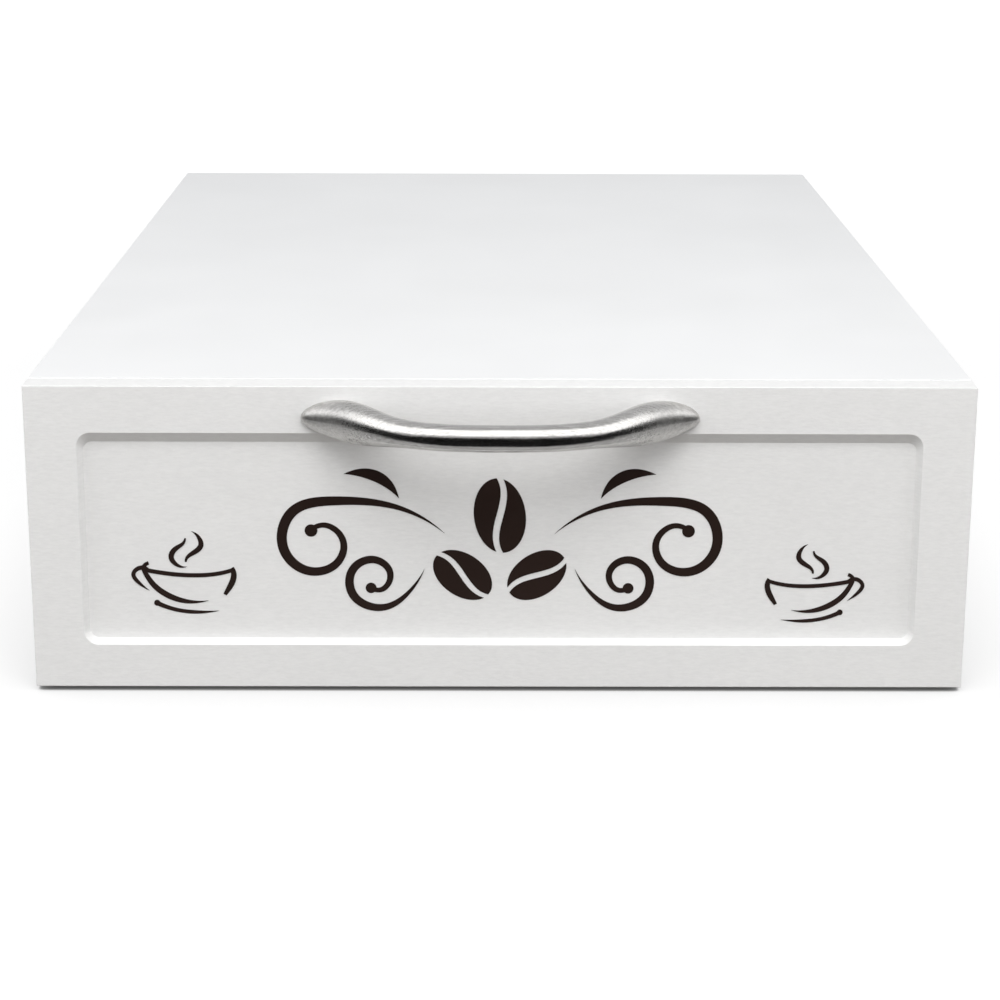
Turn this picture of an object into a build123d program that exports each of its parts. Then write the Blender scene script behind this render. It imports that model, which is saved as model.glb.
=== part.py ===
"""Countertop coffee pod drawer: a low lacquered MDF cabinet whose flat top carries a coffee machine,
holding one full-width drawer on a pair of ball-bearing side slides.

Frame, in millimetres: +Z up, +X to the right of someone facing the drawer, +Y towards the back.
The origin is the centre of the overall footprint, handle included, on the surface it stands on.
The drawer opens towards -Y. Everything is drawn closed.
"""

import os
from math import cos, hypot, pi, sin

from build123d import *

# ---------------------------------------------------------------- driving dimensions
# Whole object
overall_width = 300.0
overall_depth = 450.0  # drawer front's face to the back of the cabinet
front_height = 100.0  # drawer front, and the cabinet behind it
pad_thickness = 1.5  # rubber pads under the cabinet
pad_radius = 7.0
pad_inset = 18.0  # pad centre from the cabinet's outer sides and ends

# Cabinet boards
board = 10.0  # thickness of the five cabinet boards
edge_ease = 0.3  # rounding that the lacquer leaves on outer edges

# Drawer front
front_thickness = 10.0
front_gap = 1.0  # held open by the bumpers
bumper_radius = 4.0
bumper_inset = 18.0  # bumper centre from the front's top and bottom edges
frame_side = 16.3  # plain border left and right of the sunk panel
frame_top = 15.15
frame_bottom = 14.3
panel_depth = 3.0  # how far the panel is sunk
panel_corner = 4.4  # corner radius that the router leaves
panel_lean = 1.5  # how far the recess's side and bottom walls lean in by its floor
panel_top_lean = 3.6  # its top wall leans in further

# Bow handle
handle_hole_spacing = 96.0
handle_end = 14.8  # from a screw hole to the handle's tip
handle_projection = 31.0  # outermost point from the drawer front's face
handle_rod_height = 8.2
handle_rod_depth = 9.8
handle_foot_height = 13.2
handle_foot_depth = 13.2
handle_foot_lead = 3.2  # widest part of a foot, inwards of its screw hole
handle_drop = 10.1  # handle's level below the drawer front's top edge
bow_fullness = 1.53  # 1 is a plain cosine bow, more is squarer
flare_sharpness = 4.0  # how late the rod widens into its feet
handle_tip_lift = 0.4  # middle of the tip from the drawer front's face
handle_tip_taper = 0.52  # 0.5 rounds the tips like an ellipse, more draws them out
handle_stations = 9  # loft sections on each side of the middle

# Handle screws, M4 pan head, from behind
handle_screw_radius = 2.0
handle_screw_head_radius = 3.9
handle_screw_head_height = 2.4
handle_screw_grip = 7.0  # thread inside a foot
handle_hole_play = 0.25
counterbore_radius = 4.5
counterbore_depth = 3.0

# Drawer box, birch plywood
box_wall = 8.0
box_floor_clearance = 3.0  # box above the cabinet's bottom board
box_top_clearance = 7.0  # box below the cabinet's top board
box_rear_clearance = 10.0
floor_sheet = 3.0
floor_groove_depth = 4.0
floor_groove_rise = 6.0  # underside of the groove above the box's lower edge
divider_thickness = 4.0
divider_height = 30.0
divider_slot_depth = 3.0
lane_count = 4  # side-by-side pod lanes

# Ball-bearing slides, two members each
slide_setback = 2.0  # slide's front end behind the cabinet's front edge
slide_end_space = 27.0  # slide's back end to the back board
slide_engaged = 100.0  # length still engaged at full opening
slide_metal = 1.2
slide_height = 27.0
ball_radius = 2.0
ball_play = 0.1  # ball to raceway
balls_per_row = 8
cage_sheet = 0.4
cage_play = 0.15  # cage to either member
member_play = 0.3  # one member to the other
stop_lug = 3.0  # length of a stop lug
stop_play = 0.5  # cage to a stop lug at full opening
stop_lug_height = 8.0

# Wood screws, countersunk, and dowels
slide_screw_radius = 1.75
slide_screw_cover = 1.2  # wood left beyond a slide screw's tip
box_screw_radius = 1.5
box_screw_length = 25.0
front_screw_cover = 1.0  # left between a front screw's tip and the sunk panel
base_screw_radius = 1.75
base_screw_length = 30.0
dowel_radius = 3.0
dowel_length = 24.0
dowel_cover = 3.0  # top board left over a dowel
side_screw_count = 3
fit_play = 0.05  # radial play of screws and dowels in their holes
groove_play = 0.1  # sheets and dividers in their grooves, each side

# Painted-on transfers in the sunk panel
transfer_thickness = 0.15
left_cup_width = 33.2
right_cup_width = 31.6
cup_inset = 32.0  # cup's middle to the panel's side wall
left_cup_rise = 9.8  # saucer above the panel's lower wall
right_cup_rise = 7.1
ornament_gap = 12.0  # ornament to a cup
ornament_share = 0.5  # ornament's middle, as a share of the panel's height

# ---------------------------------------------------------------- derived places
half_width = overall_width / 2
face_y = -(overall_depth - handle_projection) / 2
back_y = face_y + overall_depth
front_back_y = face_y + front_thickness
cabinet_y = front_back_y + front_gap
inner_back_y = back_y - board
base_z = pad_thickness
top_z = base_z + front_height
floor_z = base_z + board
ceiling_z = top_z - board
inner_half = half_width - board

panel_floor_y = face_y + panel_depth
panel_half = half_width - frame_side
panel_z = (base_z + frame_bottom, top_z - frame_top)

race_radius = ball_radius + ball_play
curl_radius = race_radius + slide_metal
ball_rise = slide_height / 2 - curl_radius  # ball centres above and below the slide's middle
ball_s = slide_metal + cage_sheet + 2 * cage_play + curl_radius  # ball centres from the cabinet board
slide_width = ball_s + curl_radius + member_play + slide_metal  # cabinet board to drawer box

box_half = inner_half - slide_width
box_inner_half = box_half - box_wall
box_y = (front_back_y, inner_back_y - box_rear_clearance)
box_inner_y = (box_y[0] + box_wall, box_y[1] - box_wall)
box_z = (floor_z + box_floor_clearance, ceiling_z - box_top_clearance)
sheet_z = (box_z[0] + floor_groove_rise, box_z[0] + floor_groove_rise + floor_sheet)

slide_y = (cabinet_y + slide_setback, inner_back_y - slide_end_space)
slide_z = (box_z[0] + box_z[1]) / 2
slide_travel = slide_y[1] - slide_y[0] - slide_engaged
cage_length = slide_engaged - 2 * stop_lug - 2 * stop_play
cage_y = slide_y[0] + stop_lug + stop_play + slide_travel / 2
slide_screw_length = min(board, box_wall) + slide_metal - slide_screw_cover

handle_z = top_z - handle_drop
handle_hole_xs = (-handle_hole_spacing / 2, handle_hole_spacing / 2)
handle_length = handle_hole_spacing + 2 * handle_end
handle_foot_reach = handle_hole_spacing / 2 - handle_foot_lead
front_screw_length = box_wall + front_thickness - panel_depth - front_screw_cover
LOW, MID, HIGH = Align.MIN, Align.CENTER, Align.MAX


# ---------------------------------------------------------------- helpers
def block(x, y, z):
    """A box between (low, high) on each axis."""
    size = [high - low for low, high in (x, y, z)]
    return Pos(x[0], y[0], z[0]) * Box(*size, align=(LOW, LOW, LOW))


def eased_block(x, y, z):
    """A board with its outer edges lightly rounded."""
    body = block(x, y, z)
    return fillet(body.edges(), edge_ease)


def cross_plane(y):
    """A plane across the drawer's travel, drawn in X and Z, facing the front."""
    return Plane(origin=(0, y, 0), x_dir=(1, 0, 0), z_dir=(0, -1, 0))


def along_y(sketch, y):
    """A profile in X and Z, run from y[0] to y[1]."""
    return extrude(cross_plane(y[1]) * sketch, amount=y[1] - y[0])


def span(x, z):
    """A rectangle between (low, high) in X and Z."""
    return Pos(x[0], z[0]) * Rectangle(x[1] - x[0], z[1] - z[0], align=(LOW, LOW))


def facing(point, direction):
    """The place of a piece that points along direction, such as a screw with its head at point."""
    return Plane(origin=point, z_dir=direction).location


def spread(low, high, count):
    """Places evenly spaced from low to high."""
    return [low + (high - low) * i / (count - 1) for i in range(count)]


def both_sides(solid):
    """A left-hand solid and its mirror image."""
    return [solid, mirror(solid, about=Plane.YZ)]


def group(solids):
    """Separate solids in one node."""
    return Compound(children=[s for piece in solids for s in piece.solids()])


# ---------------------------------------------------------------- fasteners
def countersunk(radius, length, play=0.0):
    """A wood screw along -Z from its head at the origin, or with play, the hole for it."""
    head_radius = 1.75 * radius
    head_height = head_radius - radius
    tip = 1.2 * radius
    shank = Cylinder(radius + play, length - tip, align=(MID, MID, HIGH))
    head = Cone(radius + play, head_radius + play, head_height, align=(MID, MID, HIGH))
    point = Pos(0, 0, tip - length) * Cone(0.2 * radius, radius + play, tip, align=(MID, MID, HIGH))
    screw = shank + head + point
    if not play:
        slot = Box(1.8 * radius, 0.4 * radius, radius, align=MID)
        screw -= slot + Rot(0, 0, 90) * slot
    return screw


def pan_head(play=0.0):
    """The M4 handle screw along -Z from under its head at the origin."""
    length = front_thickness - counterbore_depth + handle_screw_grip
    shank = Cylinder(handle_screw_radius + play, length, align=(MID, MID, HIGH))
    if play:
        return shank
    head = Cylinder(handle_screw_head_radius, handle_screw_head_height, align=(MID, MID, LOW))
    head = fillet(head.edges().group_by(Axis.Z)[-1], handle_screw_head_height / 2)
    slot = Pos(0, 0, handle_screw_head_height) * Box(3.6, 0.9, 2.4)
    return shank + head - slot - Rot(0, 0, 90) * slot


def slide_screws(member_s, direction, ys, play=0.0):
    """Left-hand screws through one slide member, their heads flush with it."""
    screw = countersunk(slide_screw_radius, slide_screw_length, play)
    return [facing((-inner_half + member_s, y, slide_z), (direction, 0, 0)) * screw for y in ys]


def outer_slide_screws(play=0.0):
    """Screws of the left cabinet member."""
    margin = 8 * slide_screw_radius
    ys = spread(slide_y[0] + margin, slide_y[1] - margin, 3)
    return slide_screws(slide_metal, 1, ys, play)


def inner_slide_screws(play=0.0):
    """Screws of the left drawer member, clear of the other member's screws."""
    margin = 20 * slide_screw_radius
    ys = spread(slide_y[0] + margin, slide_y[1] - margin, 3)
    return slide_screws(slide_width - slide_metal, -1, ys, play)


def box_screws(play=0.0):
    """Screws through both drawer sides into the ends of the box's front and back."""
    screw = countersunk(box_screw_radius, box_screw_length, play)
    heights = (sheet_z[1] + 3 * box_screw_radius, box_z[1] - 6 * box_screw_radius)
    left = [
        facing((-box_half, y, z), (-1, 0, 0)) * screw
        for y in (box_y[0] + box_wall / 2, box_y[1] - box_wall / 2)
        for z in heights
    ]
    return [s for piece in left for s in both_sides(piece)]


def front_screws(play=0.0):
    """Short screws from inside the box, which clamp the drawer front while its glue sets."""
    screw = countersunk(box_screw_radius, front_screw_length, play)
    inset = 8 * box_screw_radius
    return [
        facing((x, box_inner_y[0], z), (0, 1, 0)) * screw
        for x in (-box_inner_half + inset, box_inner_half - inset)
        for z in (sheet_z[1] + inset, box_z[1] - inset)
    ]


def base_screws(play=0.0):
    """Screws up through the bottom board into the sides and the back."""
    screw = countersunk(base_screw_radius, base_screw_length, play)
    side_x = inner_half + board / 2
    back_mid = back_y - board / 2
    reach = inner_half / 2
    places = [(-side_x, y) for y in fixing_ys()] + [(side_x, y) for y in fixing_ys()]
    places += [(-reach, back_mid), (reach, back_mid)]
    return [facing((x, y, base_z), (0, 0, -1)) * screw for x, y in places]


def dowels(play=0.0):
    """Glued dowels that hold the top board on the sides and the back."""
    dowel = Cylinder(dowel_radius + play, dowel_length, align=(MID, MID, HIGH))
    if not play:
        dowel = chamfer(dowel.edges(), dowel_radius / 5)
    side_x = inner_half + board / 2
    back_mid = back_y - board / 2
    reach = inner_half / 2
    places = [(-side_x, y) for y in fixing_ys()] + [(side_x, y) for y in fixing_ys()]
    places += [(-reach, back_mid), (reach, back_mid)]
    return [Pos(x, y, top_z - dowel_cover) * dowel for x, y in places]


def fixing_ys():
    """Screw and dowel places along a cabinet side."""
    margin = 2.5 * pad_inset
    return spread(cabinet_y + margin, back_y - margin, side_screw_count)


def cut(body, tools):
    """The body less several cutters."""
    for tool in tools:
        body -= tool
    return body


# ---------------------------------------------------------------- cabinet
def top_board():
    body = eased_block((-half_width, half_width), (cabinet_y, back_y), (ceiling_z, top_z))
    return cut(body, dowels(fit_play))


def bottom_board():
    body = eased_block((-half_width, half_width), (cabinet_y, back_y), (base_z, floor_z))
    return cut(body, base_screws(fit_play))


def left_side_board():
    body = block((-half_width, -inner_half), (cabinet_y, back_y), (floor_z, ceiling_z))
    return cut(body, dowels(fit_play) + base_screws(fit_play) + outer_slide_screws(fit_play))


def back_board():
    body = block((-inner_half, inner_half), (inner_back_y, back_y), (floor_z, ceiling_z))
    return cut(body, dowels(fit_play) + base_screws(fit_play))


def rubber_pads():
    """Four thin pads that keep the drawer front off the worktop."""
    pad = Cylinder(pad_radius, pad_thickness, align=(MID, MID, LOW))
    pad = fillet(pad.edges().group_by(Axis.Z)[0], pad_thickness / 3)
    xs = (-half_width + pad_inset, half_width - pad_inset)
    ys = (cabinet_y + pad_inset, back_y - pad_inset)
    return group([Pos(x, y, 0) * pad for x in xs for y in ys])


# ---------------------------------------------------------------- drawer front and its trim
def panel_section(share):
    """The recess's rounded outline at a share of its depth, 0 at the front's face and 1 at its floor."""
    low, high = panel_z[0] + share * panel_lean, panel_z[1] - share * panel_top_lean
    width = 2 * (panel_half - share * panel_lean)
    corner = panel_corner - share * panel_lean
    outline = Pos(0, (low + high) / 2) * RectangleRounded(width, high - low, corner)
    return cross_plane(face_y + share * panel_depth) * outline


def drawer_front():
    body = eased_block((-half_width, half_width), (face_y, front_back_y), (base_z, top_z))
    body -= loft([panel_section(-0.2), panel_section(1)], ruled=True)
    rim = body.faces().sort_by(Axis.Y)[0].inner_wires()[0].edges()
    body = fillet(rim, edge_ease / 2)
    for x in handle_hole_xs:
        spot = facing((x, front_back_y - counterbore_depth, handle_z), (0, 1, 0))
        bore = Cylinder(counterbore_radius, counterbore_depth, align=(MID, MID, LOW))
        body -= spot * bore
        body -= spot * pan_head(handle_hole_play)
    return cut(body, front_screws(fit_play))


def front_bumpers():
    """Soft discs on the drawer front's back, which meet the cabinet's side boards."""
    disc = Cylinder(bumper_radius, front_gap, align=(MID, MID, LOW))
    xs = (-inner_half - board / 2, inner_half + board / 2)
    zs = (base_z + bumper_inset, top_z - bumper_inset)
    return group([facing((x, front_back_y, z), (0, 1, 0)) * disc for x in xs for z in zs])


def smooth(t):
    """0 to 1 with level ends."""
    t = max(0.0, min(1.0, t))
    return t * t * (3 - 2 * t)


def handle_section(x):
    """Centre's distance from the face, half depth and half height of the handle at x.

    The outer line follows the bow, and the feet thicken towards the drawer front.
    """
    half_length = handle_length / 2
    share = abs(x) / half_length
    bow = handle_projection - handle_rod_depth / 2 - handle_tip_lift
    angle = pi * share**bow_fullness
    slope = bow * sin(angle) * pi * bow_fullness * share ** (bow_fullness - 1) / (2 * half_length)
    flare = smooth((abs(x) / handle_foot_reach) ** flare_sharpness)
    past_foot = max(0.0, abs(x) - handle_foot_reach) / (half_length - handle_foot_reach)
    tip = max(0.0, 1 - past_foot**2) ** handle_tip_taper
    stretch = hypot(1, slope) * tip
    heel = (handle_foot_depth - handle_rod_depth) * flare
    out = handle_tip_lift + bow * (1 + cos(angle)) / 2 - stretch * heel / 2
    height = handle_rod_height + (handle_foot_height - handle_rod_height) * flare
    return out, stretch * (handle_rod_depth + heel) / 2, height * tip / 2


def handle():
    """Satin bow handle: elliptical sections lofted along the bow, cut flat where the feet meet the face."""
    sections = []
    for i in range(-handle_stations, handle_stations + 1):
        x = 0.4995 * handle_length * sin(pi / 2 * i / handle_stations)
        out, half_depth, half_height = handle_section(x)
        plane = Plane(origin=(x, face_y - out, handle_z), x_dir=(0, -1, 0), z_dir=(1, 0, 0))
        sections.append(plane * Ellipse(half_depth, half_height))
    body = loft(sections)
    half = handle_length
    body &= block((-half, half), (face_y - half, face_y), (handle_z - half, handle_z + half))
    bore = Cylinder(handle_screw_radius + fit_play, handle_screw_grip + 1, align=(MID, MID, HIGH))
    return cut(body, [facing((x, face_y, handle_z), (0, 1, 0)) * bore for x in handle_hole_xs])


def handle_screws():
    y = front_back_y - counterbore_depth
    return group([facing((x, y, handle_z), (0, 1, 0)) * pan_head() for x in handle_hole_xs])


# ---------------------------------------------------------------- drawer box
def floor_sheet_block(play=0.0):
    """The drawer's floor, or with play, the groove for it."""
    x = box_inner_half + floor_groove_depth - groove_play + play
    reach = floor_groove_depth - groove_play + play
    y = (box_inner_y[0] - reach, box_inner_y[1] + reach)
    return block((-x, x), y, (sheet_z[0], sheet_z[1] + play))


def divider_xs():
    """Middle of each divider: the lanes between them are equally wide."""
    lane = (2 * box_inner_half - (lane_count - 1) * divider_thickness) / lane_count
    return [-box_inner_half + (i + 1) * lane + (i + 0.5) * divider_thickness for i in range(lane_count - 1)]


def divider_block(x, play=0.0):
    """A divider, or with play, the slots for it."""
    half = divider_thickness / 2 + play
    reach = divider_slot_depth - groove_play + play
    y = (box_inner_y[0] - reach, box_inner_y[1] + reach)
    top = box_z[1] + 1 if play else sheet_z[1] + divider_height
    return block((x - half, x + half), y, (sheet_z[1], top))


def box_ends_cutters():
    """What is cut out of the box's front and back boards."""
    slots = [divider_block(x, groove_play) for x in divider_xs()]
    return [floor_sheet_block(groove_play)] + slots + box_screws(fit_play)


def box_front():
    body = block((-box_inner_half, box_inner_half), (box_y[0], box_inner_y[0]), box_z)
    return cut(body, box_ends_cutters() + front_screws(fit_play))


def box_back():
    body = block((-box_inner_half, box_inner_half), (box_inner_y[1], box_y[1]), box_z)
    return cut(body, box_ends_cutters())


def left_box_side():
    body = block((-box_half, -box_inner_half), box_y, box_z)
    body = fillet(body.edges().group_by(Axis.Z)[-1].filter_by(Axis.Y), box_wall / 6)
    return cut(body, [floor_sheet_block(groove_play)] + box_screws(fit_play) + inner_slide_screws(fit_play))


def divider(x):
    body = divider_block(x)
    return fillet(body.edges().group_by(Axis.Z)[-1].filter_by(Axis.Y), divider_thickness / 4)


# ---------------------------------------------------------------- ball-bearing slides, left hand
def race(quarter):
    """The rolled lip that the upper row of balls runs in: quarter picks the side of the ball it lies on."""
    ring = Circle(curl_radius) - Circle(race_radius)
    return Pos(-inner_half + ball_s, slide_z + ball_rise) * (ring & quarter)


def with_lower_half(profile):
    """The upper half of a slide's profile and its mirror image."""
    lower = Pos(0, 2 * slide_z) * mirror(profile, about=Plane.XZ)
    return profile + lower


def outer_rail():
    """Cabinet member: a C with its edges rolled over the balls, and a stop lug at its front end."""
    x = -inner_half
    top = slide_z + slide_height / 2
    web = span((x, x + slide_metal), (slide_z, top))
    flange = span((x, x + ball_s), (top - slide_metal, top))
    lip = race(Rectangle(curl_radius, curl_radius, align=(LOW, LOW)))
    body = along_y(with_lower_half(web + flange + lip), slide_y)
    half = stop_lug_height / 2
    lug_y = (slide_y[0], slide_y[0] + stop_lug)
    body += block((x, x + ball_s - ball_radius), lug_y, (slide_z - half, slide_z + half))
    return cut(body, outer_slide_screws(fit_play))


def inner_rail():
    """Drawer member: a shallower C inside the other, and a stop lug at its back end."""
    x = -box_half
    low = ball_rise - curl_radius
    web = span((x - slide_metal, x), (slide_z, slide_z + low + slide_metal))
    flange = span((x - slide_width + ball_s, x), (slide_z + low, slide_z + low + slide_metal))
    lip_height = curl_radius - race_radius / 2
    lip = race(Pos(-curl_radius, -curl_radius) * Rectangle(curl_radius, lip_height, align=(LOW, LOW)))
    body = along_y(with_lower_half(web + flange + lip), slide_y)
    half = stop_lug_height / 2
    lug_y = (slide_y[1] - stop_lug, slide_y[1])
    lug_x = (-inner_half + slide_metal + cage_play, x)
    body += block(lug_x, lug_y, (slide_z - half, slide_z + half))
    return cut(body, inner_slide_screws(fit_play))


def ball_places():
    """Ball centres in the left slide, both rows."""
    margin = cage_length / balls_per_row / 2
    ys = spread(cage_y + margin, cage_y + cage_length - margin, balls_per_row)
    return [(-inner_half + ball_s, y, slide_z + side * ball_rise) for side in (-1, 1) for y in ys]


def balls():
    return group([Pos(*place) * Sphere(ball_radius) for place in ball_places()])


def ball_cage():
    """The strip that keeps the balls apart: a web between the members, and a holed flange along each row."""
    x = -inner_half + slide_metal + cage_play
    y = (cage_y, cage_y + cage_length)
    flange_top = ball_rise - ball_radius / 4
    web = span((x, x + cage_sheet), (slide_z, slide_z + flange_top))
    flange_x = (x, -inner_half + ball_s + 1.2 * ball_radius)
    flange = span(flange_x, (slide_z + flange_top - cage_sheet, slide_z + flange_top))
    body = along_y(with_lower_half(web + flange), y)
    hole = Cylinder(ball_radius + fit_play / 2, 2 * ball_radius)
    return cut(body, [Pos(*place) * hole for place in ball_places()])


# ---------------------------------------------------------------- transfers in the sunk panel
def stroke(points, size, widest, start=0.0, end=0.0):
    """A brush stroke along a smooth line through points, pointed at an end whose width is 0."""
    line = Spline(*[(x * size, z * size) for x, z in points])
    left, right = [], []
    steps = 4 * len(points)
    for i in range(steps + 1):
        share = i / steps
        tip = start if share < 0.5 else end
        half = (tip + (widest - tip) * sin(pi * share)) * size / 2
        along = line % share
        side = Vector(-along.Y, along.X) * half
        left.append((line @ share) + side)
        right.append((line @ share) - side)
    edges = [Spline(*left), Spline(*right)]
    if start:
        edges.append(Line(left[0], right[0]))
    if end:
        edges.append(Line(left[-1], right[-1]))
    return make_face(edges)


def on_panel(drawing):
    """Flat artwork in X and Z as a thin film on the sunk panel."""
    return extrude(cross_plane(panel_floor_y) * drawing, amount=transfer_thickness)


def fused(drawing):
    """Overlapping flat shapes as one film."""
    body = on_panel(drawing[0])
    for shape in drawing[1:]:
        body += on_panel(shape)
    return body


def cup_strokes(size):
    """A cup on its saucer in loose brush strokes, its ear on the left."""
    rim = [(-0.37, 0.44), (-0.13, 0.40), (0.11, 0.385), (0.35, 0.405), (0.48, 0.44)]
    ear = [(-0.34, 0.43), (-0.44, 0.45), (-0.48, 0.40), (-0.45, 0.33), (-0.33, 0.23)]
    bowl = [(-0.33, 0.51), (-0.38, 0.46), (-0.36, 0.40), (-0.29, 0.29), (-0.15, 0.18), (0.03, 0.12)]
    cheek = [(0.47, 0.46), (0.49, 0.40), (0.46, 0.29), (0.40, 0.19)]
    return [
        stroke(rim, size, 0.042, 0.042, 0.038),
        stroke(ear, size, 0.04, 0.048),
        stroke(bowl + [(0.24, 0.13)], size, 0.058, 0.034),
        stroke(cheek, size, 0.058, 0.046, 0.034),
    ]


def saucer_strokes(size):
    """The saucer's brush stroke, with a round start."""
    line = [(-0.26, 0.105), (-0.13, 0.05), (0.10, 0.012), (0.34, 0.025)]
    return [stroke(line, size, 0.038, 0.046), drop(line[0], size, 0.03)]


def steam_strokes(size):
    """Two wisps of steam over the cup, which touch nothing."""
    left = [(0.03, 0.76), (0.01, 0.71), (-0.07, 0.65), (-0.11, 0.57), (-0.07, 0.50), (0.04, 0.475)]
    right = [(0.09, 0.83), (0.16, 0.77), (0.18, 0.69), (0.10, 0.61), (0.04, 0.56), (0.03, 0.52)]
    return [stroke(left, size, 0.052, 0.016), stroke(right, size, 0.052, 0, 0.018)]


def cup_transfer(side):
    """A cup in a lower corner of the panel: side is -1 on the left, 1 on the right, where it is mirrored."""
    size, rise = (left_cup_width, left_cup_rise) if side < 0 else (right_cup_width, right_cup_rise)
    pieces = [fused(cup_strokes(size)), fused(saucer_strokes(size))]
    pieces += [on_panel(shape) for shape in steam_strokes(size)]
    if side > 0:
        pieces = [mirror(piece, about=Plane.YZ) for piece in pieces]
    return group([Pos(side * (panel_half - cup_inset), 0, panel_z[0] + rise) * piece for piece in pieces])


def bean(x, z, length, turn):
    """A coffee bean: two halves with a wavy cleft between them; turn is a share of a full turn."""
    line = [(0, -0.6), (-0.07, -0.2), (0.07, 0.2), (0, 0.6)]
    cleft = stroke(line, length, 0.09, 0.06, 0.06)
    return Pos(x, z) * Rot(0, 0, 360 * turn) * (Ellipse(length / 3, length / 2) - cleft)


def curl(x, z, radius, start, turns, steps):
    """Points along a spiral about (x, z) that tightens from radius; start and turns are in full turns."""
    points = []
    for i in range(steps + 1):
        share = i / steps
        angle = 2 * pi * (start + turns * share)
        reach = radius * (1 - 0.68 * share)
        points.append((x + reach * cos(angle), z + reach * sin(angle)))
    return points


def drop(point, size, radius):
    """The round drop at a scroll's inner end."""
    return Pos(point[0] * size, point[1] * size) * Circle(radius * size)


def scrolls(size):
    """The right half of the ornament, size from the middle to its outer end: two scrolls and a leaf."""
    high = [(0.24, 0.02), (0.42, 0.13)] + curl(0.79, -0.02, 0.20, 0.305, -1.15, 7)
    low = [(0.33, -0.14), (0.40, -0.25)] + curl(0.55, -0.19, 0.135, 0.71, 1.1, 6)
    leaf = [(0.44, 0.18), (0.52, 0.27), (0.68, 0.29)]
    return [
        fused([stroke(high, size, 0.045, 0, 0.02), drop(high[-1], size, 0.028)]),
        fused([stroke(low, size, 0.038, 0, 0.02), drop(low[-1], size, 0.024)]),
        on_panel(stroke(leaf, size, 0.05)),
    ]


def centre_ornament():
    """Three coffee beans between mirrored scrolls, in the middle of the panel."""
    panel_height = panel_z[1] - panel_z[0]
    room = panel_half - cup_inset - left_cup_width / 2 - ornament_gap
    reach = min(room, 1.1 * panel_height)
    right = scrolls(reach)
    left = [mirror(piece, about=Plane.YZ) for piece in right]
    size = 0.34 * reach
    beans = [bean(0, 0.3 * size, size, 0.02), bean(-0.48 * size, -0.5 * size, 0.85 * size, 0.15)]
    beans.append(bean(0.48 * size, -0.5 * size, 0.85 * size, -0.15))
    pieces = right + left + [on_panel(shape) for shape in beans]
    height = panel_z[0] + ornament_share * panel_height
    return group([Pos(0, 0, height) * piece for piece in pieces])


def nodes():
    """Every sub-part by name."""
    made = {
        "top_board": top_board(),
        "bottom_board": bottom_board(),
        "back_board": back_board(),
        "rubber_pads": rubber_pads(),
        "top_dowels": group(dowels()),
        "base_screws": group(base_screws()),
        "outer_rail_screws": group([s for piece in outer_slide_screws() for s in both_sides(piece)]),
        "drawer_front": drawer_front(),
        "front_bumpers": front_bumpers(),
        "front_screws": group(front_screws()),
        "handle": handle(),
        "handle_screws": handle_screws(),
        "box_front": box_front(),
        "box_back": box_back(),
        "box_floor": floor_sheet_block(),
        "box_screws": group(box_screws()),
        "inner_rail_screws": group([s for piece in inner_slide_screws() for s in both_sides(piece)]),
        "left_cup_transfer": cup_transfer(-1),
        "right_cup_transfer": cup_transfer(1),
        "centre_ornament": centre_ornament(),
    }
    pairs = {
        "side_board": left_side_board(),
        "outer_rail": outer_rail(),
        "inner_rail": inner_rail(),
        "ball_cage": ball_cage(),
        "slide_balls": balls(),
        "box_side": left_box_side(),
    }
    for name, solid in pairs.items():
        made["left_" + name], made["right_" + name] = both_sides(solid)
    for i, x in enumerate(divider_xs()):
        made[f"lane_divider_{i + 1}"] = divider(x)
    return made


os.makedirs("parts", exist_ok=True)
for name, shape in nodes().items():
    export_step(shape, f"parts/{name}.step")
print("slide travel", slide_travel, "cage travel", slide_travel / 2)
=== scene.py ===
"""Looks for the coffee pod drawer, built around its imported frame.

Metres, in the part's own frame: the drawer opens towards -Y.
"""

import math

import bpy
from mathutils import Matrix, Vector


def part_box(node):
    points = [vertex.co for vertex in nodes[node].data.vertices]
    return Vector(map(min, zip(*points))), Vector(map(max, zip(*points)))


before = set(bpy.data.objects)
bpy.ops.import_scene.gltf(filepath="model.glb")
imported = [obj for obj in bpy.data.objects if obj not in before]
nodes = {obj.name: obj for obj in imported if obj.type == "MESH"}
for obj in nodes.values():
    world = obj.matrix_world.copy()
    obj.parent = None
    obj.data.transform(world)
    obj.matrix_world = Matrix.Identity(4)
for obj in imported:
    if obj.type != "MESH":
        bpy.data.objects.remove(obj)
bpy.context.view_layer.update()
scene = bpy.context.scene
FACE_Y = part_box("drawer_front")[0].y
WHITE = (1, 1, 1)


# ---------------------------------------------------------------- material helpers
def map_range(tree, source, low, high, to_low=0.0, to_high=1.0):
    """source from low..high to to_low..to_high, clamped."""
    span = tree.nodes.new("ShaderNodeMapRange")
    for key, value in zip(("From Min", "From Max", "To Min", "To Max"), (low, high, to_low, to_high)):
        span.inputs[key].default_value = value
    tree.links.new(source, span.inputs["Value"])
    return span.outputs["Result"]


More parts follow.
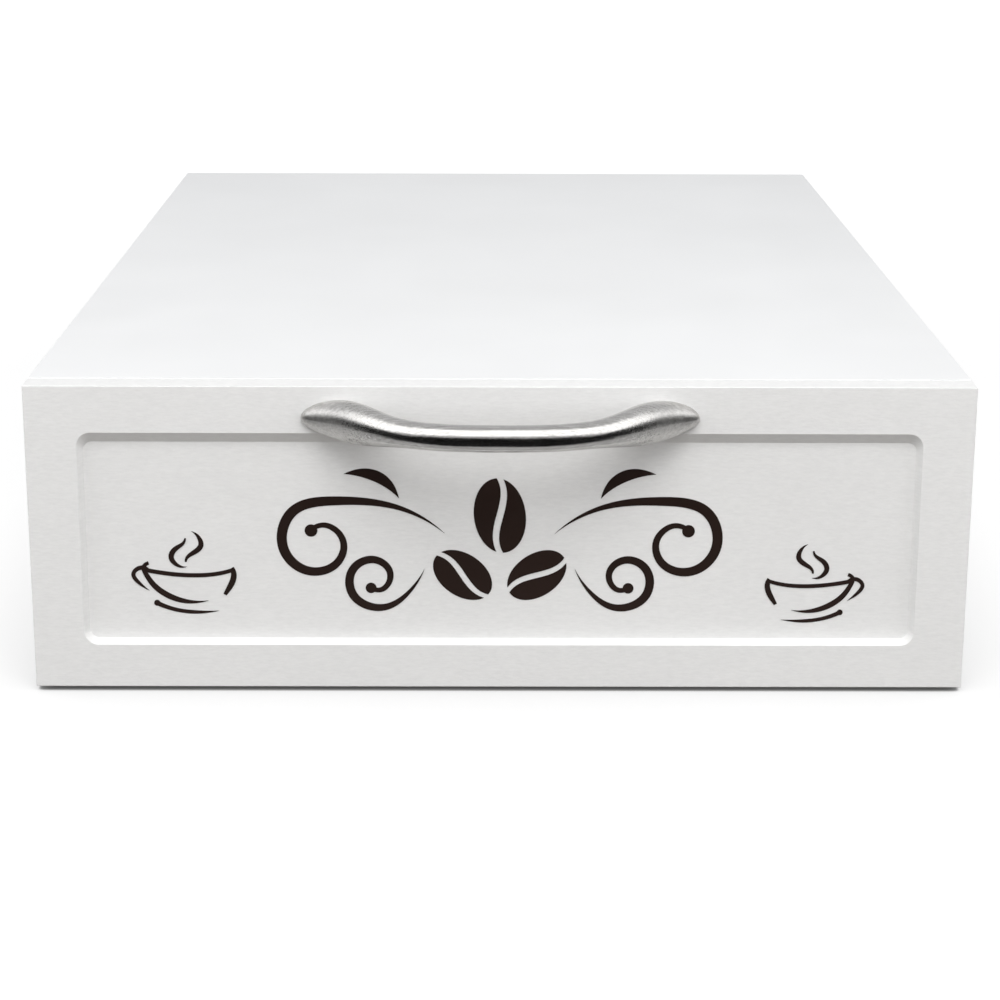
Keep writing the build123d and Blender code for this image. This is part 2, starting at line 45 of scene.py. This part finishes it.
class Mat:
    """A node material with one Principled shader, and short calls for the nodes that feed it."""

    def __init__(self, name, color, rough, metallic=0.0, specular=0.5):
        self.material = bpy.data.materials.new(name)
        self.material.use_nodes = True
        self.tree = self.material.node_tree
        self.shader = self.tree.nodes["Principled BSDF"]
        self.set("Base Color", (*color, 1.0))
        self.set("Roughness", rough)
        self.set("Metallic", metallic)
        self.set("Specular IOR Level", specular)
        self.coords = self.node("ShaderNodeTexCoord").outputs["Object"]
        self.last_bump = None

    def node(self, kind, **settings):
        made = self.tree.nodes.new(kind)
        for key, value in settings.items():
            setattr(made, key, value)
        return made

    def link(self, source, socket):
        self.tree.links.new(source, socket)

    def set(self, socket, value):
        self.shader.inputs[socket].default_value = value

    def feed(self, source, socket):
        self.link(source, self.shader.inputs[socket])

    def noise(self, scale, detail=2.0, rough=0.5, distort=0.0):
        """Noise with that many features per metre on each axis."""
        mapping = self.node("ShaderNodeMapping")
        mapping.inputs["Scale"].default_value = scale
        self.link(self.coords, mapping.inputs["Vector"])
        noise = self.node("ShaderNodeTexNoise")
        noise.inputs["Scale"].default_value = 1.0
        noise.inputs["Detail"].default_value = detail
        noise.inputs["Roughness"].default_value = rough
        noise.inputs["Distortion"].default_value = distort
        self.link(mapping.outputs["Vector"], noise.inputs["Vector"])
        return noise.outputs["Fac"]

    def ramp(self, source, low, high, to_low=0.0, to_high=1.0):
        return map_range(self.tree, source, low, high, to_low, to_high)

    def math(self, kind, a, b=0):
        """A maths node; kinds such as SINE read only a."""
        made = self.node("ShaderNodeMath", operation=kind)
        for i, value in enumerate((a, b)):
            if isinstance(value, (int, float)):
                made.inputs[i].default_value = value
            else:
                self.link(value, made.inputs[i])
        return made.outputs[0]

    def blend(self, a, b, share):
        """The sum of two values, with share of it from a."""
        return self.math("ADD", self.math("MULTIPLY", a, share), self.math("MULTIPLY", b, 1 - share))

    def mix(self, fac, a, b):
        """Colour a to b by fac; each colour is a tuple or a socket."""
        made = self.node("ShaderNodeMix", data_type="RGBA")
        self.link(fac, made.inputs["Factor"])
        for key, value in ((6, a), (7, b)):
            if isinstance(value, tuple):
                made.inputs[key].default_value = (*value, 1.0)
            else:
                self.link(value, made.inputs[key])
        return made.outputs[2]

    def axis(self, vector, which):
        """One axis of a vector: 0, 1 or 2."""
        split = self.node("ShaderNodeSeparateXYZ")
        self.link(vector, split.inputs[0])
        return split.outputs[which]

    def bump(self, height, depth):
        """Adds a bump of that depth in metres to the surface."""
        made = self.node("ShaderNodeBump")
        made.inputs["Distance"].default_value = depth
        made.inputs["Strength"].default_value = 1.0
        self.link(height, made.inputs["Height"])
        if self.last_bump:
            self.link(self.last_bump, made.inputs["Normal"])
        self.last_bump = made.outputs["Normal"]
        self.feed(self.last_bump, "Normal")

    def put_on(self, *names):
        for name in names:
            mesh = nodes[name].data
            mesh.materials.clear()
            mesh.materials.append(self.material)


# ---------------------------------------------------------------- lacquered boards
def lacquer(name, color, rough):
    """Sprayed satin lacquer: faint mottling, a fine orange peel and slightly uneven gloss."""
    m = Mat(name, color, rough)
    cloud = m.noise((9, 9, 9), 3)
    dark = tuple(c * 0.975 for c in color)
    m.feed(m.mix(m.ramp(cloud, 0.35, 0.65), dark, color), "Base Color")
    m.feed(m.ramp(m.noise((35, 35, 35), 3), 0.3, 0.7, rough - 0.04, rough + 0.06), "Roughness")
    m.bump(m.noise((520, 520, 520)), 0.00002)
    return m


lacquer("cabinet_lacquer", (0.87, 0.875, 0.88), 0.42).put_on(
    "top_board", "bottom_board", "back_board", "left_side_board", "right_side_board"
)

# The drawer front shows the fine level strokes of a brush through its lacquer.
front = Mat("front_lacquer", (0.84, 0.84, 0.835), 0.50, specular=0.4)
brushed = front.noise((380, 380, 1500), 4, 0.62)
cloudy = front.noise((14, 14, 22), 3)
tone = front.ramp(front.blend(brushed, cloudy, 0.7), 0.34, 0.66)
front.feed(front.mix(tone, (0.80, 0.80, 0.797), (0.865, 0.865, 0.86)), "Base Color")
front.feed(front.ramp(brushed, 0.3, 0.7, 0.46, 0.58), "Roughness")
front.bump(brushed, 0.00005)
front.bump(front.noise((700, 700, 700)), 0.000012)
front.put_on("drawer_front")

# ---------------------------------------------------------------- handle
# Satin along the bow, and duller from there to the ends of its feet.
DULLER_FROM, DULLER_TO = 0.036, 0.058  # metres from its middle
nickel = Mat("satin_nickel", (0.60, 0.59, 0.575), 0.22, metallic=1.0)
grain = nickel.noise((80, 1500, 1500), 4, 0.6)
spots = nickel.noise((1700, 2300, 2300))
streaky = nickel.blend(grain, spots, 0.75)
tone = nickel.ramp(streaky, 0.36, 0.64)
nickel.feed(nickel.mix(tone, (0.50, 0.49, 0.475), (0.72, 0.71, 0.695)), "Base Color")
from_middle = nickel.math("ABSOLUTE", nickel.axis(nickel.coords, 0))
duller = nickel.ramp(from_middle, DULLER_FROM, DULLER_TO, 0.0, 0.13)
nickel.feed(nickel.math("ADD", nickel.ramp(streaky, 0.3, 0.7, 0.18, 0.27), duller), "Roughness")
nickel.bump(grain, 0.000012)
nickel.bump(spots, 0.000005)
nickel.put_on("handle")

# ---------------------------------------------------------------- print
film = Mat("brown_print", (0.018, 0.009, 0.007), 0.5, specular=0.25)
film.feed(film.mix(film.noise((45, 45, 45), 3), (0.014, 0.007, 0.005), (0.024, 0.012, 0.009)), "Base Color")
film.feed(film.ramp(film.noise((300, 300, 300)), 0.3, 0.7, 0.44, 0.58), "Roughness")
film.bump(film.noise((900, 900, 900)), 0.00001)
film.put_on("left_cup_transfer", "right_cup_transfer", "centre_ornament")


# ---------------------------------------------------------------- plywood
def plywood(name, along, across, plies):
    """Sealed birch plywood: face grain runs along one axis, with plies a metre stacked on the axis across."""
    m = Mat(name, (0.75, 0.60, 0.42), 0.5)
    stretch = [160.0, 160.0, 160.0]
    stretch[along] = 7.0
    figure = m.noise(stretch, 4, 0.55, 0.6)
    fine = m.noise([s * 7 for s in stretch])
    face = m.mix(m.ramp(figure, 0.3, 0.7), (0.60, 0.44, 0.28), (0.76, 0.61, 0.43))
    wave = m.math("SINE", m.math("MULTIPLY", m.axis(m.coords, across), 2 * math.pi * plies))
    edge = m.mix(m.ramp(wave, -0.25, 0.25), (0.42, 0.28, 0.17), (0.70, 0.54, 0.36))
    normal = m.node("ShaderNodeTexCoord").outputs["Normal"]
    facing = m.math("ABSOLUTE", m.axis(normal, across))
    m.feed(m.mix(m.ramp(facing, 0.55, 0.75), edge, face), "Base Color")
    m.feed(m.ramp(fine, 0.3, 0.7, 0.42, 0.58), "Roughness")
    m.bump(figure, 0.00008)
    m.bump(fine, 0.00003)
    return m


plywood("ply_sides", 1, 0, 850).put_on("left_box_side", "right_box_side")
plywood("ply_ends", 0, 1, 850).put_on("box_front", "box_back")
plywood("ply_dividers", 1, 0, 1300).put_on("lane_divider_1", "lane_divider_2", "lane_divider_3")
plywood("ply_floor", 1, 2, 1300).put_on("box_floor")
plywood("beech_dowels", 2, 0, 10).put_on("top_dowels")


# ---------------------------------------------------------------- metal
def plated(name, color, rough, stretch, shift=0.06):
    """Rolled or turned steel under bright zinc: drawn lines along one axis and a faint spangle."""
    m = Mat(name, color, rough, metallic=1.0)
    lines = m.noise(stretch, 3)
    spangle = m.noise((180, 180, 180))
    dull = tuple(c * 0.86 for c in color)
    m.feed(m.mix(m.ramp(spangle, 0.35, 0.65), dull, color), "Base Color")
    m.feed(m.ramp(lines, 0.3, 0.7, rough - shift, rough + shift), "Roughness")
    m.bump(lines, 0.00002)
    return m


plated("rolled_rails", (0.66, 0.67, 0.68), 0.30, (1400, 25, 1400)).put_on(
    "left_outer_rail", "right_outer_rail", "left_inner_rail", "right_inner_rail"
)
plated("pressed_cages", (0.52, 0.53, 0.54), 0.36, (900, 60, 900)).put_on("left_ball_cage", "right_ball_cage")
plated("polished_balls", (0.78, 0.78, 0.79), 0.10, (500, 500, 500), 0.03).put_on(
    "left_slide_balls", "right_slide_balls"
)
plated("zinc_screws", (0.70, 0.69, 0.64), 0.28, (700, 700, 700)).put_on(
    "base_screws", "outer_rail_screws", "inner_rail_screws", "front_screws", "handle_screws", "box_screws"
)

# ---------------------------------------------------------------- pads and bumpers
rubber = Mat("pad_rubber", (0.030, 0.030, 0.032), 0.78)
tone = rubber.noise((120, 120, 120), 3)
rubber.feed(rubber.mix(tone, (0.022, 0.022, 0.024), (0.045, 0.045, 0.047)), "Base Color")
rubber.feed(rubber.ramp(rubber.noise((400, 400, 400)), 0.3, 0.7, 0.70, 0.86), "Roughness")
rubber.bump(rubber.noise((1500, 1500, 1500)), 0.00004)
rubber.put_on("rubber_pads")

soft = Mat("bumper_soft", (0.72, 0.72, 0.70), 0.55)
soft.feed(soft.mix(soft.noise((200, 200, 200), 3), (0.66, 0.66, 0.63), (0.76, 0.76, 0.74)), "Base Color")
soft.feed(soft.ramp(soft.noise((500, 500, 500)), 0.3, 0.7, 0.48, 0.62), "Roughness")
soft.bump(soft.noise((900, 900, 900)), 0.00003)
soft.put_on("front_bumpers")


# ---------------------------------------------------------------- stage helpers
def plane(name, corners):
    """A flat four-cornered sheet that isn't part of the object."""
    mesh = bpy.data.meshes.new(name)
    mesh.from_pydata(corners, [], [(0, 1, 2, 3)])
    made = bpy.data.objects.new(name, mesh)
    scene.collection.objects.link(made)
    return made


def stage_material(name):
    """An empty node material, its tree and its output."""
    material = bpy.data.materials.new(name)
    material.use_nodes = True
    material.node_tree.nodes.clear()
    return material, material.node_tree, material.node_tree.nodes.new("ShaderNodeOutputMaterial")


def plain(tree, kind, color, strength=None):
    """The output of a diffuse, emission or background shader of one colour."""
    made = tree.nodes.new(kind)
    made.inputs["Color"].default_value = (*color, 1)
    if strength is not None:
        made.inputs["Strength"].default_value = strength
    return made.outputs[0]


def either(tree, test, otherwise, chosen):
    """One shader where test is 1, another where it is 0."""
    made = tree.nodes.new("ShaderNodeMixShader")
    for i, source in enumerate((test, otherwise, chosen)):
        tree.links.new(source, made.inputs[i])
    return made.outputs[0]


# ---------------------------------------------------------------- floor
BOUNCE = (0.17, 0.157, 0.144)  # what the floor throws back on the object
SHOWN = (0.30, 0.30, 0.30)  # the part of its white that takes the object's shadow
MIRRORED = 0.50  # its brightness in the handle
FLOOR_NEAR, FLOOR_FAR = 0.35, 1.2  # metres from the object's middle
# Painted contact shadow on the floor: within this reach, ambient occlusion darkens the floor's glow by these
# levels.
PAINTED_SHADE_REACH = 0.05  # the dark line where the object stands
PAINTED_SHADE_LEVELS = ((0.30, 0.18), (0.50, 0.80), (0.70, 0.90))


def floor_glow(tree):
    """Emission that makes the floor white for the camera, a little less so near the object, and darkened into
    a painted contact shadow where the object stands close over it.
    """
    away = tree.nodes.new("ShaderNodeVectorMath")
    away.operation = "LENGTH"
    tree.links.new(tree.nodes.new("ShaderNodeTexCoord").outputs["Object"], away.inputs[0])
    # Painted contact shadow: the glow is darkened where the object stands close above or beside the floor.
    nearby = tree.nodes.new("ShaderNodeAmbientOcclusion")
    nearby.samples = 16
    nearby.inputs["Distance"].default_value = PAINTED_SHADE_REACH
    painted_contact_shade = tree.nodes.new("ShaderNodeValToRGB")
    painted_contact_shade.color_ramp.elements[0].color = (0.04, 0.04, 0.04, 1)
    for place, level in PAINTED_SHADE_LEVELS:
        painted_contact_shade.color_ramp.elements.new(place).color = (level, level, level, 1)
    tree.links.new(nearby.outputs["AO"], painted_contact_shade.inputs["Fac"])
    dim = tree.nodes.new("ShaderNodeMath")
    dim.operation = "MULTIPLY"
    tree.links.new(painted_contact_shade.outputs["Color"], dim.inputs[0])
    tree.links.new(map_range(tree, away.outputs["Value"], FLOOR_NEAR, FLOOR_FAR, 0.73, 0.92), dim.inputs[1])
    glow = tree.nodes.new("ShaderNodeEmission")
    glow.inputs["Color"].default_value = (*WHITE, 1)
    tree.links.new(dim.outputs[0], glow.inputs["Strength"])
    return glow.outputs[0]


def floor_material():
    """White for the camera and in the metal, and a dim warm grey for the light that it throws back."""
    material, tree, output = stage_material("floor_white")
    path = tree.nodes.new("ShaderNodeLightPath")
    seen = tree.nodes.new("ShaderNodeAddShader")
    tree.links.new(plain(tree, "ShaderNodeBsdfDiffuse", SHOWN), seen.inputs[0])
    tree.links.new(floor_glow(tree), seen.inputs[1])
    bounce = plain(tree, "ShaderNodeBsdfDiffuse", BOUNCE)
    mirrored = plain(tree, "ShaderNodeEmission", WHITE, MIRRORED)
    unseen = either(tree, path.outputs["Is Glossy Ray"], bounce, mirrored)
    shown = either(tree, path.outputs["Is Camera Ray"], unseen, seen.outputs[0])
    tree.links.new(shown, output.inputs[0])
    return material


floor = plane("floor", [(-6, -6, 0), (6, -6, 0), (6, 8, 0), (-6, 8, 0)])
floor.data.materials.append(floor_material())

# ---------------------------------------------------------------- black cards
# They stand in front of the drawer and are seen only in reflections, as the dark side of a studio is.
near, back, behind, wide = FACE_Y - 0.078, FACE_Y - 0.90, 0.3, 0.9
low, side_top, front_top = 0.004, 0.40, 0.62
black_material, tree, output = stage_material("card_black")
tree.links.new(plain(tree, "ShaderNodeBsdfDiffuse", (0.01, 0.01, 0.01)), output.inputs[0])


def side_card(name, x):
    return plane(name, [(x, back, 0.0), (x, behind, 0.0), (x, behind, side_top), (x, back, side_top)])


cards = [
    plane("low_card", [(-wide, back, low), (wide, back, low), (wide, near, low), (-wide, near, low)]),
    plane(
        "front_card",
        [(-wide, back, 0.0), (wide, back, 0.0), (wide, back, front_top), (-wide, back, front_top)],
    ),
    side_card("left_card", -wide),
    side_card("right_card", wide),
]
for card in cards:
    card.data.materials.append(black_material)
    card.visible_camera = card.visible_diffuse = card.visible_shadow = card.visible_transmission = False

# ---------------------------------------------------------------- light
world = bpy.data.worlds.new("studio")
scene.world = world
world.use_nodes = True
tree = world.node_tree
tree.nodes.clear()
path = tree.nodes.new("ShaderNodeLightPath")
fill = plain(tree, "ShaderNodeBackground", (0.985, 0.99, 1.0), 0.60)
backdrop = plain(tree, "ShaderNodeBackground", WHITE, 1.0)
output = tree.nodes.new("ShaderNodeOutputWorld")
tree.links.new(either(tree, path.outputs["Is Camera Ray"], fill, backdrop), output.inputs[0])


def softbox(name, azimuth, elevation, distance, width, height, watts, color=WHITE):
    """An area light round the object; azimuth 0 is in front of the drawer, 90 on its right."""
    data = bpy.data.lights.new(name, "AREA")
    data.shape = "RECTANGLE"
    data.size, data.size_y = width, height
    data.energy = watts
    data.color = color
    lamp = bpy.data.objects.new(name, data)
    a, e = math.radians(azimuth), math.radians(elevation)
    lamp.location = Vector((math.sin(a) * math.cos(e), -math.cos(a) * math.cos(e), math.sin(e))) * distance
    lamp.rotation_euler = lamp.location.to_track_quat("Z", "Y").to_euler()
    scene.collection.objects.link(lamp)
    return lamp


# The first four light the surfaces, and the ceiling is what their gloss shows.
lamps = [
    softbox("key", 2, 46, 1.6, 1.5, 0.7, 13.4, (1.0, 0.995, 0.985)),
    softbox("overhead", 0, 82, 1.6, 2.0, 1.2, 1.8),
    softbox("left_fill", -58, 14, 2.0, 1.0, 1.0, 6.0),
    softbox("right_fill", 58, 14, 2.0, 1.0, 1.0, 6.0),
]
for lamp in lamps:
    lamp.visible_glossy = False
ceiling = softbox("ceiling", 0, 70, 1.5, 6.0, 1.4, 34.0)
ceiling.visible_diffuse = False

# ---------------------------------------------------------------- camera, at the photograph's viewing angle
CAMERA_PLACE = (-0.0047823, FACE_Y - 0.7587277, 0.2814522)
CAMERA_YAW, CAMERA_DIP, CAMERA_ROLL = -0.0063, 0.2784, 0.0037  # radians
lens = bpy.data.cameras.new("camera")
lens.sensor_width = 36.0
lens.lens = 89.466
lens.clip_start, lens.clip_end = 0.01, 60.0
camera = bpy.data.objects.new("camera", lens)
yaw = Matrix.Rotation(CAMERA_YAW, 4, "Z")
dip = Matrix.Rotation(math.pi / 2 - CAMERA_DIP, 4, "X")
roll = Matrix.Rotation(CAMERA_ROLL, 4, "Z")
camera.matrix_world = Matrix.Translation(CAMERA_PLACE) @ yaw @ dip @ roll
scene.collection.objects.link(camera)
scene.camera = camera
scene.view_settings.view_transform = "Standard"
